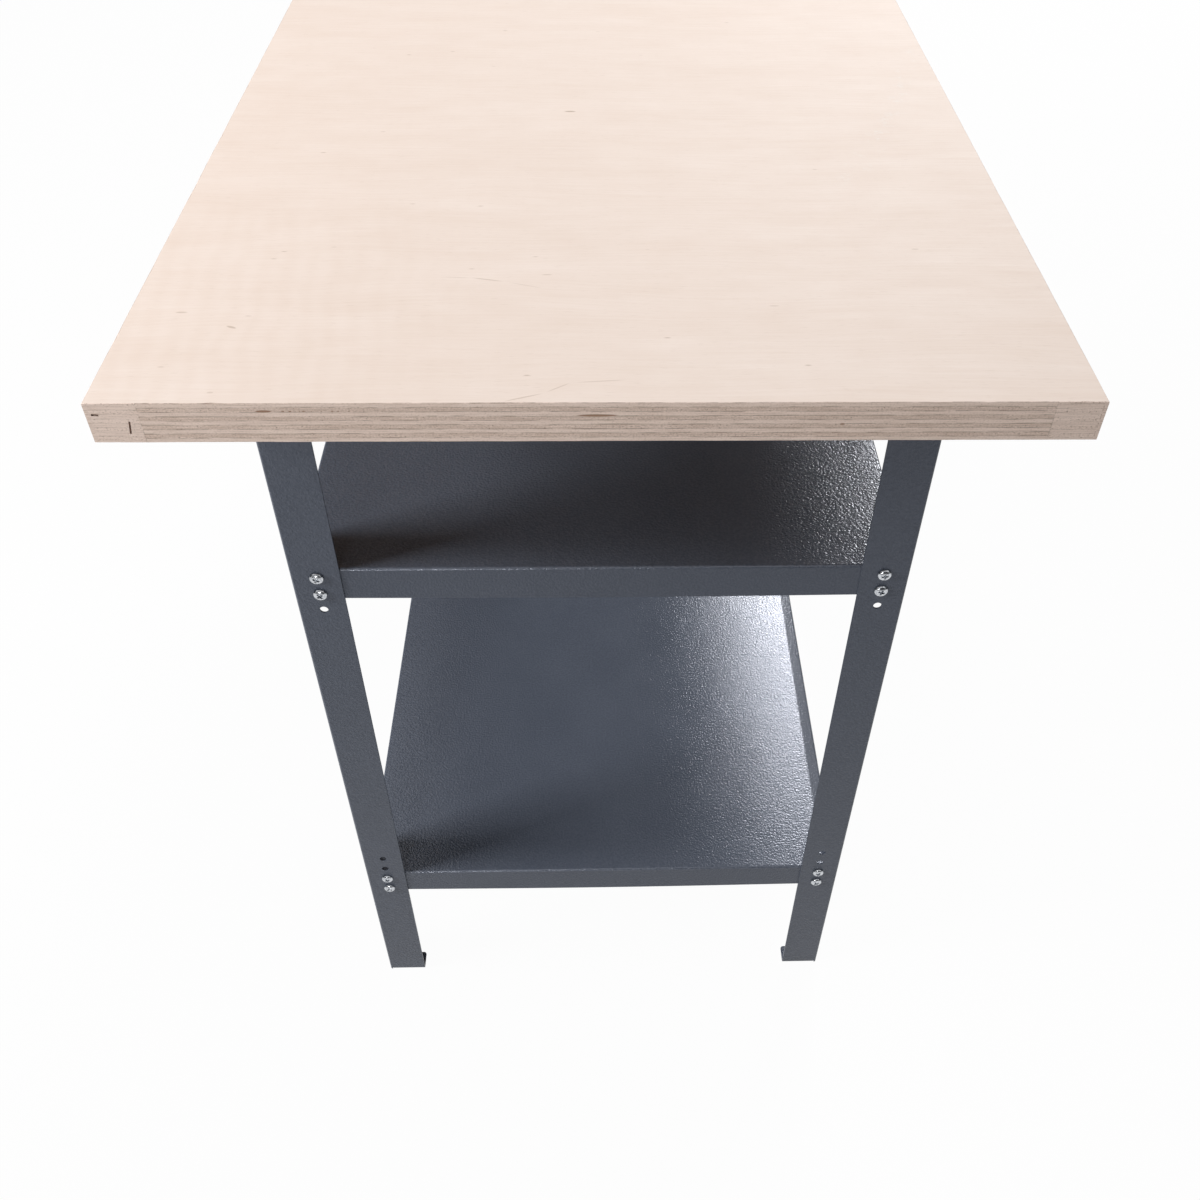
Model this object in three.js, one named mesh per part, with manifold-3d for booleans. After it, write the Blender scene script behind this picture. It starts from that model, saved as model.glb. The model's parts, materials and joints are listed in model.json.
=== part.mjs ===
// Assembly table: a plywood worktop on four folded steel legs, with two sheet steel shelves.
// Millimetres. X runs across the width, Y along the length and Z up from the floor.

import * as THREE from "three";
import { mergeVertices } from "three/addons/utils/BufferGeometryUtils.js";
import Module from "manifold-3d";

// Worktop
const TOP_WIDTH = 650;
const TOP_LENGTH = 1500;
const TOP_THICKNESS = 30;
const WORK_HEIGHT = 850;
const TOP_ARRIS = 0.8;

// Place of the frame under the worktop
const SIDE_OVERHANG = 75;
const END_OVERHANG = 75;

// Legs: angle section, folded from sheet, with a folded tab at the floor and under the worktop
const LEG_FLANGE = 40;
const LEG_SHEET = 1.5;
const LEG_FOLD_RADIUS = 1;
const TAB_DEPTH = 20;
const TAB_CORNER_RADIUS = 3;
const TAB_RELIEF = 1;
const TAB_HOLE_INSET = 9;

// Shelves: trays with the lips turned down
const UPPER_SHELF_HEIGHT = 637;
const LOWER_SHELF_HEIGHT = 200;
const SHELF_SHEET = 1;
const SHELF_FOLD_RADIUS = 1.5;
const SHELF_SIDE_CLEARANCE = 0.3;
const SHELF_CORNER_RELIEF = 4;
const LIP_BELOW_LAST_SCREW = 6;

// Shelf screws and nuts
const SCREW_DIAMETER = 6;
const SCREW_LENGTH = 12;
const SCREW_END_CHAMFER = 0.75;
const SCREW_HEAD_DIAMETER = 11.5;
const SCREW_HEAD_HEIGHT = 3.6;
const SCREW_RIM_HEIGHT = 1.1;
const SCREW_HOLE_CLEARANCE = 1;
const SCREW_PITCH = 18;
const SCREW_INSET = 21;
const NUT_ACROSS_FLATS = 10;
const NUT_THICKNESS = 5;
const NUT_TOP_CLEARANCE = 0.5;
const THREAD_CLEARANCE = 0.3;

// Wood screws that hold the worktop
const WOOD_SCREW_DIAMETER = 4.5;
const WOOD_SCREW_LENGTH = 18;
const WOOD_SCREW_TIP = 4;
const WOOD_SCREW_HEAD_DIAMETER = 9;
const WOOD_SCREW_HEAD_HEIGHT = 3;
const WOOD_SCREW_RIM_HEIGHT = 0.9;
const TAB_HOLE_CLEARANCE = 1.5;
const PILOT_TIP_CLEARANCE = 1;

// Cross recess in every screw head
const RECESS_SPAN = 5.4;
const RECESS_SLOT = 1.4;
const RECESS_DEPTH = 2;

// Hole pattern: each shelf takes two screws at a leg, and the legs have spare holes beside them
const SCREWS_PER_SHELF = 2;
const SPARE_HOLES_UNDER_UPPER = 1;
const SPARE_HOLES_OVER_LOWER = 2;

// Fineness of the round shapes
const FOLD_STEPS = 3;
const HOLE_SIDES = 12;
const HEAD_SIDES = 14;
const DOME_STEPS = 3;
const CORNER_STEPS = 3;
const MERGE_DISTANCE = 1e-4;

// A cutting body is this many times as long as what it passes through
const CUT_THROUGH = 4;

// Sizes that follow from the ones above
const LEG_HEIGHT = WORK_HEIGHT - TOP_THICKNESS;
const LEG_CORNER_X = SIDE_OVERHANG - TOP_WIDTH / 2;
const LEG_CORNER_Y = END_OVERHANG - TOP_LENGTH / 2;
const LEG_FOLD_OUTSIDE = LEG_FOLD_RADIUS + LEG_SHEET;
const TAB_START = LEG_FOLD_OUTSIDE + TAB_RELIEF;
const TAB_WIDTH = LEG_FLANGE - TAB_START;
const TAB_HOLE_DIAMETER = WOOD_SCREW_DIAMETER + TAB_HOLE_CLEARANCE;
const TAB_HOLE_XS = [TAB_START + TAB_HOLE_INSET, LEG_FLANGE - TAB_HOLE_INSET];
const TAB_HOLE_Y = (LEG_FOLD_OUTSIDE + TAB_DEPTH) / 2;
const SCREW_HOLE_DIAMETER = SCREW_DIAMETER + SCREW_HOLE_CLEARANCE;
const FIRST_SCREW_DROP = SHELF_SHEET + SHELF_FOLD_RADIUS + NUT_TOP_CLEARANCE + NUT_ACROSS_FLATS / 2;
const SHELF_LIP = FIRST_SCREW_DROP + (SCREWS_PER_SHELF - 1) * SCREW_PITCH + LIP_BELOW_LAST_SCREW;
const SHELF_HALF_WIDTH = -LEG_CORNER_X - LEG_SHEET - SHELF_SIDE_CLEARANCE;
const SHELF_HALF_LENGTH = -LEG_CORNER_Y - LEG_SHEET;
const SCREW_X = -LEG_CORNER_X - SCREW_INSET;

// Finishes
const plywood = new THREE.MeshStandardMaterial({ color: 0xe6d3c0, roughness: 0.5, metalness: 0 });
const paint = new THREE.MeshStandardMaterial({ color: 0x4a4e57, roughness: 0.35, metalness: 0.1 });
const zinc = new THREE.MeshStandardMaterial({ color: 0xc9ccd0, roughness: 0.25, metalness: 1 });

// Drawing planes, each given by the directions of its across, up and out axes
const X_AXIS = new THREE.Vector3(1, 0, 0);
const Y_AXIS = new THREE.Vector3(0, 1, 0);
const Z_AXIS = new THREE.Vector3(0, 0, 1);
const PLAN = [X_AXIS, Y_AXIS, Z_AXIS];
const CROSS_SECTION = [X_AXIS, Z_AXIS, Y_AXIS.clone().negate()];
const LONG_SECTION = [Y_AXIS, Z_AXIS, X_AXIS];

const wasm = await Module();
wasm.setup();

// A closed geometry as a solid that can be joined and cut.
function solidOf(geometry) {
  const bare = geometry.clone();
  bare.deleteAttribute("normal");
  bare.deleteAttribute("uv");
  const merged = mergeVertices(bare, MERGE_DISTANCE);
  const vertProperties = merged.attributes.position.array;
  const triVerts = new Uint32Array(merged.index.array);
  return new wasm.Manifold(new wasm.Mesh({ numProp: 3, vertProperties, triVerts }));
}

// A finished solid as a geometry.
function geometryOf(body) {
  const { vertProperties, triVerts } = body.getMesh();
  const geometry = new THREE.BufferGeometry();
  geometry.setAttribute("position", new THREE.BufferAttribute(vertProperties, 3));
  geometry.setIndex(new THREE.BufferAttribute(triVerts, 1));
  geometry.computeVertexNormals();
  return geometry;
}

// Turns a geometry so that its own axes lie along those of a drawing plane.
function laidIn(plane, geometry) {
  return geometry.applyMatrix4(new THREE.Matrix4().makeBasis(...plane));
}

// An outline pushed out of its plane by a length, half to each side.
function prism(plane, outline, length) {
  const shape = new THREE.Shape(outline);
  const geometry = new THREE.ExtrudeGeometry(shape, { depth: length, bevelEnabled: false });
  geometry.translate(0, 0, -length / 2);
  return laidIn(plane, geometry);
}

// The outline of a folded sheet, from the outside corners of its right-angled folds in order.
function foldedOutline(corners, sheet, insideRadius) {
  const outsideRadius = insideRadius + sheet;
  const direction = (i) => corners[i + 1].clone().sub(corners[i]).normalize();
  const last = corners.length - 1;
  const outside = [corners[0]];
  const inside = [corners[0].clone().addScaledVector(direction(1), sheet)];
  for (let i = 1; i < last; i += 1) {
    const incoming = direction(i - 1);
    const outgoing = direction(i);
    const centre = corners[i].clone();
    centre.addScaledVector(incoming, -outsideRadius);
    centre.addScaledVector(outgoing, outsideRadius);
    for (let step = 0; step <= FOLD_STEPS; step += 1) {
      const angle = ((Math.PI / 2) * step) / FOLD_STEPS;
      const spoke = outgoing.clone().multiplyScalar(-Math.cos(angle));
      spoke.addScaledVector(incoming, Math.sin(angle));
      outside.push(centre.clone().addScaledVector(spoke, outsideRadius));
      inside.push(centre.clone().addScaledVector(spoke, insideRadius));
    }
  }
  outside.push(corners[last]);
  inside.push(corners[last].clone().addScaledVector(direction(last - 2), -sheet));
  return [...outside, ...inside.reverse()];
}

// A straight round bar, centred on the origin, for a hole along the length of the table.
function roundBar(diameter, length) {
  return new THREE.CylinderGeometry(diameter / 2, diameter / 2, length, HOLE_SIDES);
}

// A straight round bar, centred on the origin, for an upright hole.
function uprightBar(diameter, length) {
  return laidIn(CROSS_SECTION, roundBar(diameter, length));
}

// The heights of the screws that hold a shelf, from its top surface.
function screwHeights(shelfHeight) {
  const rows = Array.from({ length: SCREWS_PER_SHELF }, (_, row) => row);
  return rows.map((row) => shelfHeight - FIRST_SCREW_DROP - row * SCREW_PITCH);
}

// Every hole height in a leg: the screw holes of both shelves and the spare ones beside them.
function legHoleHeights() {
  const upper = screwHeights(UPPER_SHELF_HEIGHT);
  const lower = screwHeights(LOWER_SHELF_HEIGHT);
  const heights = [...upper, ...lower];
  for (let i = 1; i <= SPARE_HOLES_UNDER_UPPER; i += 1) {
    heights.push(upper[upper.length - 1] - i * SCREW_PITCH);
  }
  for (let i = 1; i <= SPARE_HOLES_OVER_LOWER; i += 1) {
    heights.push(lower[0] + i * SCREW_PITCH);
  }
  return heights;
}

// The worktop, with its edges eased and a pilot hole for each wood screw.
function worktopGeometry() {
  const board = new THREE.Shape();
  board.moveTo(-TOP_WIDTH / 2, -TOP_LENGTH / 2);
  board.lineTo(TOP_WIDTH / 2, -TOP_LENGTH / 2);
  board.lineTo(TOP_WIDTH / 2, TOP_LENGTH / 2);
  board.lineTo(-TOP_WIDTH / 2, TOP_LENGTH / 2);
  const plain = new THREE.ExtrudeGeometry(board, {
    depth: TOP_THICKNESS - 2 * TOP_ARRIS,
    bevelThickness: TOP_ARRIS,
    bevelSize: TOP_ARRIS,
    bevelOffset: -TOP_ARRIS,
    bevelSegments: 1,
  });
  plain.translate(0, 0, LEG_HEIGHT + TOP_ARRIS);
  let top = solidOf(plain);
  const pilotDiameter = WOOD_SCREW_DIAMETER + 2 * THREAD_CLEARANCE;
  const pilotDepth = WOOD_SCREW_LENGTH - LEG_SHEET + PILOT_TIP_CLEARANCE;
  for (const sideways of [1, -1]) {
    for (const endways of [1, -1]) {
      for (const x of TAB_HOLE_XS) {
        const pilot = uprightBar(pilotDiameter, 2 * pilotDepth);
        const acrossPlace = sideways * (LEG_CORNER_X + x);
        const alongPlace = endways * (LEG_CORNER_Y + TAB_HOLE_Y);
        top = top.subtract(solidOf(pilot.translate(acrossPlace, alongPlace, LEG_HEIGHT)));
      }
    }
  }
  return geometryOf(top);
}

// The foot tab of a leg with the fold that joins it to the end flange, before its holes.
function footTab() {
  const rise = 2 * LEG_FOLD_OUTSIDE;
  const corners = [
    new THREE.Vector2(0, rise),
    new THREE.Vector2(0, 0),
    new THREE.Vector2(TAB_DEPTH, 0),
  ];
  const middle = TAB_START + TAB_WIDTH / 2;
  const folded = prism(LONG_SECTION, foldedOutline(corners, LEG_SHEET, LEG_FOLD_RADIUS), TAB_WIDTH);
  folded.translate(middle, 0, 0);
  const outline = [
    new THREE.Vector2(-TAB_WIDTH / 2, -TAB_DEPTH),
    new THREE.Vector2(TAB_WIDTH / 2, -TAB_DEPTH),
  ];
  for (const [side, startAngle] of [[1, 0], [-1, Math.PI / 2]]) {
    for (let step = 0; step <= CORNER_STEPS; step += 1) {
      const angle = startAngle + ((Math.PI / 2) * step) / CORNER_STEPS;
      const x = side * (TAB_WIDTH / 2 - TAB_CORNER_RADIUS) + TAB_CORNER_RADIUS * Math.cos(angle);
      const y = TAB_DEPTH - TAB_CORNER_RADIUS + TAB_CORNER_RADIUS * Math.sin(angle);
      outline.push(new THREE.Vector2(x, y));
    }
  }
  const trim = prism(PLAN, outline, CUT_THROUGH * rise).translate(middle, 0, 0);
  return solidOf(folded).intersect(solidOf(trim));
}

// A leg with its outside corner on the Z axis, its end flange along +X and its side flange along +Y.
function legGeometry() {
  const section = foldedOutline(
    [new THREE.Vector2(LEG_FLANGE, 0), new THREE.Vector2(0, 0), new THREE.Vector2(0, LEG_FLANGE)],
    LEG_SHEET,
    LEG_FOLD_RADIUS,
  );
  let leg = solidOf(prism(PLAN, section, LEG_HEIGHT).translate(0, 0, LEG_HEIGHT / 2));

  // The end flange makes room for the two folds, and a relief parts them from the side flange.
  const notchWidth = 2 * (LEG_FLANGE - LEG_FOLD_OUTSIDE);
  const notch = new THREE.BoxGeometry(notchWidth, 2 * LEG_FOLD_OUTSIDE, 2 * LEG_FOLD_OUTSIDE);
  notch.translate(LEG_FLANGE, 0, 0);
  const foot = footTab();
  const flipped = new THREE.Matrix4().makeScale(1, 1, -1).setPosition(0, 0, LEG_HEIGHT);
  leg = leg.subtract(solidOf(notch)).add(foot);
  leg = leg.subtract(solidOf(notch.clone().translate(0, 0, LEG_HEIGHT)));
  leg = leg.add(foot.transform(flipped.elements));

  for (const x of TAB_HOLE_XS) {
    const hole = uprightBar(TAB_HOLE_DIAMETER, CUT_THROUGH * LEG_HEIGHT);
    leg = leg.subtract(solidOf(hole.translate(x, TAB_HOLE_Y, 0)));
  }
  for (const height of legHoleHeights()) {
    const hole = roundBar(SCREW_HOLE_DIAMETER, CUT_THROUGH * LEG_SHEET);
    leg = leg.subtract(solidOf(hole.translate(SCREW_INSET, 0, height)));
  }
  return geometryOf(leg);
}

// A shelf with its top surface at Z = 0: one sheet with a lip folded down along each side and end.
function shelfGeometry() {
  const tray = (half) => [
    new THREE.Vector2(-half, -SHELF_LIP),
    new THREE.Vector2(-half, 0),
    new THREE.Vector2(half, 0),
    new THREE.Vector2(half, -SHELF_LIP),
  ];
  const folded = (half) => foldedOutline(tray(half), SHELF_SHEET, SHELF_FOLD_RADIUS);
  const sideLipLength = 2 * (SHELF_HALF_LENGTH - SHELF_CORNER_RELIEF);
  const endLipLength = 2 * (SHELF_HALF_WIDTH - SHELF_CORNER_RELIEF);
  const withSides = solidOf(prism(CROSS_SECTION, folded(SHELF_HALF_WIDTH), sideLipLength));
  const withEnds = solidOf(prism(LONG_SECTION, folded(SHELF_HALF_LENGTH), endLipLength));
  let shelf = withSides.add(withEnds);
  for (const height of screwHeights(0)) {
    for (const side of [1, -1]) {
      const holes = roundBar(SCREW_HOLE_DIAMETER, CUT_THROUGH * SHELF_HALF_LENGTH);
      shelf = shelf.subtract(solidOf(holes.translate(side * SCREW_X, 0, height)));
    }
  }
  return geometryOf(shelf);
}

// The half outline of a pan head, from its crown on the axis to its seat at zero.
function panHead(diameter, height, rim) {
  const points = [];
  for (let step = 0; step <= DOME_STEPS; step += 1) {
    const angle = ((Math.PI / 2) * step) / DOME_STEPS;
    const rise = rim + (height - rim) * Math.cos(angle);
    points.push(new THREE.Vector2((diameter / 2) * Math.sin(angle), -rise));
  }
  points.push(new THREE.Vector2(diameter / 2, 0));
  return points;
}

// A turned piece on the Y axis with a cross recess in the head that lies below zero.
function recessedScrew(profile, headHeight) {
  let screw = solidOf(new THREE.LatheGeometry(profile, HEAD_SIDES));
  const slot = new THREE.BoxGeometry(RECESS_SPAN, 2 * RECESS_DEPTH, RECESS_SLOT);
  const across = new THREE.BoxGeometry(RECESS_SLOT, 2 * RECESS_DEPTH, RECESS_SPAN);
  const recess = solidOf(slot).add(solidOf(across));
  const moved = recess.transform(new THREE.Matrix4().makeTranslation(0, -headHeight, 0).elements);
  screw = screw.subtract(moved);
  return geometryOf(screw);
}

// A shelf screw along +Y, with the seat of its head at zero.
function shelfScrewGeometry() {
  const radius = SCREW_DIAMETER / 2;
  const profile = [
    ...panHead(SCREW_HEAD_DIAMETER, SCREW_HEAD_HEIGHT, SCREW_RIM_HEIGHT),
    new THREE.Vector2(radius, 0),
    new THREE.Vector2(radius, SCREW_LENGTH - SCREW_END_CHAMFER),
    new THREE.Vector2(radius - SCREW_END_CHAMFER, SCREW_LENGTH),
    new THREE.Vector2(0, SCREW_LENGTH),
  ];
  return recessedScrew(profile, SCREW_HEAD_HEIGHT);
}

// A wood screw pointing up, with the seat of its head at zero.
function woodScrewGeometry() {
  const radius = WOOD_SCREW_DIAMETER / 2;
  const profile = [
    ...panHead(WOOD_SCREW_HEAD_DIAMETER, WOOD_SCREW_HEAD_HEIGHT, WOOD_SCREW_RIM_HEIGHT),
    new THREE.Vector2(radius, 0),
    new THREE.Vector2(radius, WOOD_SCREW_LENGTH - WOOD_SCREW_TIP),
    new THREE.Vector2(0, WOOD_SCREW_LENGTH),
  ];
  return laidIn(CROSS_SECTION, recessedScrew(profile, WOOD_SCREW_HEAD_HEIGHT));
}

// A hexagon nut along Y with a flat on top, from zero to its thickness.
function nutGeometry() {
  const cornerRadius = NUT_ACROSS_FLATS / Math.sqrt(3);
  const hexagon = [];
  for (let corner = 0; corner < 6; corner += 1) {
    const angle = (Math.PI / 3) * corner;
    hexagon.push(new THREE.Vector2(cornerRadius * Math.cos(angle), cornerRadius * Math.sin(angle)));
  }
  const bore = roundBar(SCREW_DIAMETER + 2 * THREAD_CLEARANCE, 2 * NUT_THICKNESS);
  const body = solidOf(prism(CROSS_SECTION, hexagon, NUT_THICKNESS)).subtract(solidOf(bore));
  return geometryOf(body).translate(0, NUT_THICKNESS / 2, 0);
}

// Adds one named piece to a group.
function addPiece(group, name, geometry, material, x, y, z) {
  const piece = new THREE.Mesh(geometry, material);
  piece.name = name;
  piece.position.set(x, y, z);
  group.add(piece);
}

const table = new THREE.Group();
const shelves = [
  ["upper", UPPER_SHELF_HEIGHT],
  ["lower", LOWER_SHELF_HEIGHT],
];

addPiece(table, "worktop", worktopGeometry(), plywood, 0, 0, 0);

const shelf = shelfGeometry();
for (const [level, height] of shelves) {
  addPiece(table, `${level}_shelf`, shelf, paint, 0, 0, height);
}

const leg = legGeometry();
const shelfScrew = shelfScrewGeometry();
const nut = nutGeometry();
const woodScrew = woodScrewGeometry();

// Each corner is the front left one, mirrored across the width, along the length, or both.
for (const [endName, endSign] of [["front", 1], ["back", -1]]) {
  for (const [sideName, sideSign] of [["left", 1], ["right", -1]]) {
    const corner = new THREE.Group();
    corner.scale.set(sideSign, endSign, 1);
    table.add(corner);
    const place = `${endName}_${sideName}`;
    addPiece(corner, `leg_${place}`, leg, paint, LEG_CORNER_X, LEG_CORNER_Y, 0);

    const nutSeat = LEG_CORNER_Y + LEG_SHEET + SHELF_SHEET;
    for (const [level, height] of shelves) {
      screwHeights(height).forEach((z, row) => {
        const label = `${level}_${place}_${row + 1}`;
        addPiece(corner, `shelf_screw_${label}`, shelfScrew, zinc, -SCREW_X, LEG_CORNER_Y, z);
        addPiece(corner, `shelf_nut_${label}`, nut, zinc, -SCREW_X, nutSeat, z);
      });
    }

    TAB_HOLE_XS.forEach((x, row) => {
      const name = `top_screw_${place}_${row + 1}`;
      const across = LEG_CORNER_X + x;
      const along = LEG_CORNER_Y + TAB_HOLE_Y;
      addPiece(corner, name, woodScrew, zinc, across, along, LEG_HEIGHT - LEG_SHEET);
    });
  }
}

export default table;
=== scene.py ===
"""Assembly table: finer pieces, finishes, camera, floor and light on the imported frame."""

import json
import logging
import math
from dataclasses import dataclass, field
from enum import Enum
from typing import Any, Callable, Iterable, Sequence

import bmesh
import bpy
from mathutils import Matrix, Vector, noise
from mathutils.geometry import delaunay_2d_cdt

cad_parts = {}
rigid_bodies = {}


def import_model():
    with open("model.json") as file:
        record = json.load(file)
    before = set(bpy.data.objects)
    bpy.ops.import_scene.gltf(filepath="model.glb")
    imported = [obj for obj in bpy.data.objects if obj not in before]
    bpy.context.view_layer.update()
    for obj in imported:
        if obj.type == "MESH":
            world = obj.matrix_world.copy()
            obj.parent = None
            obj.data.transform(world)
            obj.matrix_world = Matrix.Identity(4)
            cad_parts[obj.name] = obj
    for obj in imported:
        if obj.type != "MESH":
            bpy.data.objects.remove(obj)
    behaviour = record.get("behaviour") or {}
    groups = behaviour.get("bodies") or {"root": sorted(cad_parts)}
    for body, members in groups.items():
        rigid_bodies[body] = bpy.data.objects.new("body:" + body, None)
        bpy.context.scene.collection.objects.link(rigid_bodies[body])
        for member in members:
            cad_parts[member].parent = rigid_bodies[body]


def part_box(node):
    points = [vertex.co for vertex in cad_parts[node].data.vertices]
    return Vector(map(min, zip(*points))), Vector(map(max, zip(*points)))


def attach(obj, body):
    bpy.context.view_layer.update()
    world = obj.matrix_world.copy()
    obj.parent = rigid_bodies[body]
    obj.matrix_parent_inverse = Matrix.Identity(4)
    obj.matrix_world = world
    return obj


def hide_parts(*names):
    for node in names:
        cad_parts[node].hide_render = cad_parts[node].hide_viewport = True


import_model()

LOG = logging.getLogger("assembly_table")
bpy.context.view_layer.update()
BODY = "root"
MM = 0.001
QUARTER_TURN = math.pi / 2
FACES_WITH_HOLES = 5

Colour = tuple[float, float, float]
Point2 = tuple[float, float]


class End(Enum):
    """The two ends of the table, with the direction that each faces along the length."""

    FRONT = -1
    BACK = 1

    @property
    def word(self) -> str:
        """The end's word in the node names."""
        return self.name.lower()


class Side(Enum):
    """The two long sides of the table, with the direction that each faces across the width."""

    LEFT = -1
    RIGHT = 1

    @property
    def word(self) -> str:
        """The side's word in the node names."""
        return self.name.lower()


class Level(Enum):
    """The two shelves."""

    UPPER = "upper"
    LOWER = "lower"


class Slot(Enum):
    """The record's material slots."""

    PLYWOOD = "plywood"
    PAINT = "hammered_paint"
    ZINC = "zinc_plating"


class Wire:
    """One output socket of a shader tree, with arithmetic on its values."""

    def __init__(self, tree: "ShaderTree", socket: bpy.types.NodeSocket) -> None:
        """Keeps the socket and the tree it belongs to.

        Args:
            tree: The tree that new nodes go into.
            socket: The output socket.
        """
        self.tree = tree
        self.socket = socket

    def __add__(self, other: "Wire | float") -> "Wire":
        """This value plus another."""
        return self.tree.math("ADD", self, other)

    __radd__ = __add__

    def __sub__(self, other: "Wire | float") -> "Wire":
        """This value less another."""
        return self.tree.math("SUBTRACT", self, other)

    def __rsub__(self, other: float) -> "Wire":
        """A number less this value."""
        return self.tree.math("SUBTRACT", other, self)

    def __mul__(self, other: "Wire | float") -> "Wire":
        """This value times another."""
        return self.tree.math("MULTIPLY", self, other)

    __rmul__ = __mul__

    def __truediv__(self, other: "Wire | float") -> "Wire":
        """This value divided by another."""
        return self.tree.math("DIVIDE", self, other)

    def __rtruediv__(self, other: float) -> "Wire":
        """A number divided by this value."""
        return self.tree.math("DIVIDE", other, self)

    def __pow__(self, other: "Wire | float") -> "Wire":
        """This value raised to a power."""
        return self.tree.math("POWER", self, other)

    def __abs__(self) -> "Wire":
        """The size of this value."""
        return self.tree.math("ABSOLUTE", self)

    def larger(self, other: "Wire | float") -> "Wire":
        """The larger of this value and another."""
        return self.tree.math("MAXIMUM", self, other)

    def over(self, other: "Wire | float") -> "Wire":
        """One where this value is above another, and zero elsewhere."""
        return self.tree.math("GREATER_THAN", self, other)

    def part(self) -> "Wire":
        """What is left of this value above its whole number."""
        return self.tree.math("FRACT", self)

    def root(self) -> "Wire":
        """The square root of this value."""
        return self.tree.math("SQRT", self)

    def wave(self) -> "Wire":
        """The sine of this value."""
        return self.tree.math("SINE", self)

    def step(self, low: float, high: float) -> "Wire":
        """A soft step of this value.

        Args:
            low: The value at which the step starts.
            high: The value at which the step is done.

        Returns:
            Zero before the step and one after it, or the other way round if low is above high.
        """
        if low > high:
            return 1 - self.step(high, low)
        sockets = {"Value": self, "From Min": low, "From Max": high}
        made = self.tree.node("ShaderNodeMapRange", {"interpolation_type": "SMOOTHSTEP"}, sockets)
        return Wire(self.tree, made.outputs["Result"])


class ShaderTree:
    """A node tree that is written as expressions."""

    def __init__(self, tree: bpy.types.NodeTree) -> None:
        """Empties a node tree.

        Args:
            tree: The tree of a material or of the world.
        """
        self.tree = tree
        self.tree.nodes.clear()

    def feed(self, socket: bpy.types.NodeSocket, value: Any) -> None:
        """Sets or links one input socket.

        Args:
            socket: The input socket.
            value: A wire, another node's output socket, a number, or a tuple of numbers.
        """
        if isinstance(value, Wire):
            self.tree.links.new(value.socket, socket)
        elif isinstance(value, bpy.types.NodeSocket):
            self.tree.links.new(value, socket)
        elif isinstance(value, tuple) and socket.type == "RGBA" and len(value) == 3:
            socket.default_value = (*value, 1.0)
        else:
            socket.default_value = value

    def node(
        self,
        kind: str,
        settings: dict[str, Any] | None = None,
        sockets: dict[str | int, Any] | None = None,
    ) -> bpy.types.Node:
        """Adds one node.

        Args:
            kind: The node's type.
            settings: The node's own settings, which are set first.
            sockets: The values or links of its inputs, by name or number.

        Returns:
            The new node.
        """
        made = self.tree.nodes.new(kind)
        for name, value in (settings or {}).items():
            setattr(made, name, value)
        for name, value in (sockets or {}).items():
            self.feed(made.inputs[name], value)
        return made

    def math(self, operation: str, *values: "Wire | float") -> Wire:
        """A Math node on values.

        Args:
            operation: The node's operation.
            values: Its inputs in order.

        Returns:
            The result.
        """
        made = self.node("ShaderNodeMath", {"operation": operation}, dict(enumerate(values)))
        return Wire(self, made.outputs[0])

    def vector(self, operation: str, *values: Any) -> Wire:
        """A Vector Math node.

        Args:
            operation: The node's operation.
            values: Its inputs in order.

        Returns:
            The resulting vector.
        """
        made = self.node("ShaderNodeVectorMath", {"operation": operation}, dict(enumerate(values)))
        return Wire(self, made.outputs["Vector"])

    def join(self, x: "Wire | float", y: "Wire | float", z: "Wire | float") -> Wire:
        """A vector from three values."""
        return Wire(self, self.node("ShaderNodeCombineXYZ", None, {0: x, 1: y, 2: z}).outputs[0])

    def mix(self, share: "Wire | float", first: Any, second: Any) -> Wire:
        """A blend of two colours.

        Args:
            share: How much of the second colour there is, from zero to one.
            first: The colour where the share is zero.
            second: The colour where the share is one.

        Returns:
            The blended colour.
        """
        settings = {"data_type": "RGBA", "blend_type": "MIX", "clamp_factor": True}
        made = self.node("ShaderNodeMix", settings, {0: share, 6: first, 7: second})
        return Wire(self, made.outputs[2])

    def millimetres(self) -> tuple[Wire, Wire, Wire]:
        """The place on the object in millimetres, as three values."""
        place = self.node("ShaderNodeTexCoord").outputs["Object"]
        scaled = self.vector("MULTIPLY", place, (1 / MM, 1 / MM, 1 / MM))
        parts = self.node("ShaderNodeSeparateXYZ", None, {0: scaled}).outputs
        return Wire(self, parts[0]), Wire(self, parts[1]), Wire(self, parts[2])

    def cloud(self, place: Wire, detail: float = 2.0, roughness: float = 0.5) -> Wire:
        """A soft noise of about unit grain.

        Args:
            place: Where to read the noise, in grains.
            detail: How many finer layers it has.
            roughness: How strong the finer layers are.

        Returns:
            A value about one half, mostly from 0.2 to 0.8.
        """
        sockets = {"Vector": place, "Scale": 1.0, "Detail": detail, "Roughness": roughness}
        return Wire(self, self.node("ShaderNodeTexNoise", None, sockets).outputs[0])

    def cells(self, place: Wire, feature: str = "F1") -> bpy.types.Node:
        """A cell pattern of about unit size.

        Args:
            place: Where to read the pattern, in cells.
            feature: Which measure of the cells to give.

        Returns:
            The node, with its Distance and Color outputs.
        """
        return self.node("ShaderNodeTexVoronoi", {"feature": feature}, {"Vector": place, "Scale": 1.0})

    def bump(self, height: Wire, depth_mm: float) -> Wire:
        """A surface normal from a height.

        Args:
            height: The height, from zero to one.
            depth_mm: What a height of one stands for, in millimetres.

        Returns:
            The normal.
        """
        made = self.node("ShaderNodeBump", None, {"Height": height, "Distance": depth_mm * MM})
        return Wire(self, made.outputs["Normal"])


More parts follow.
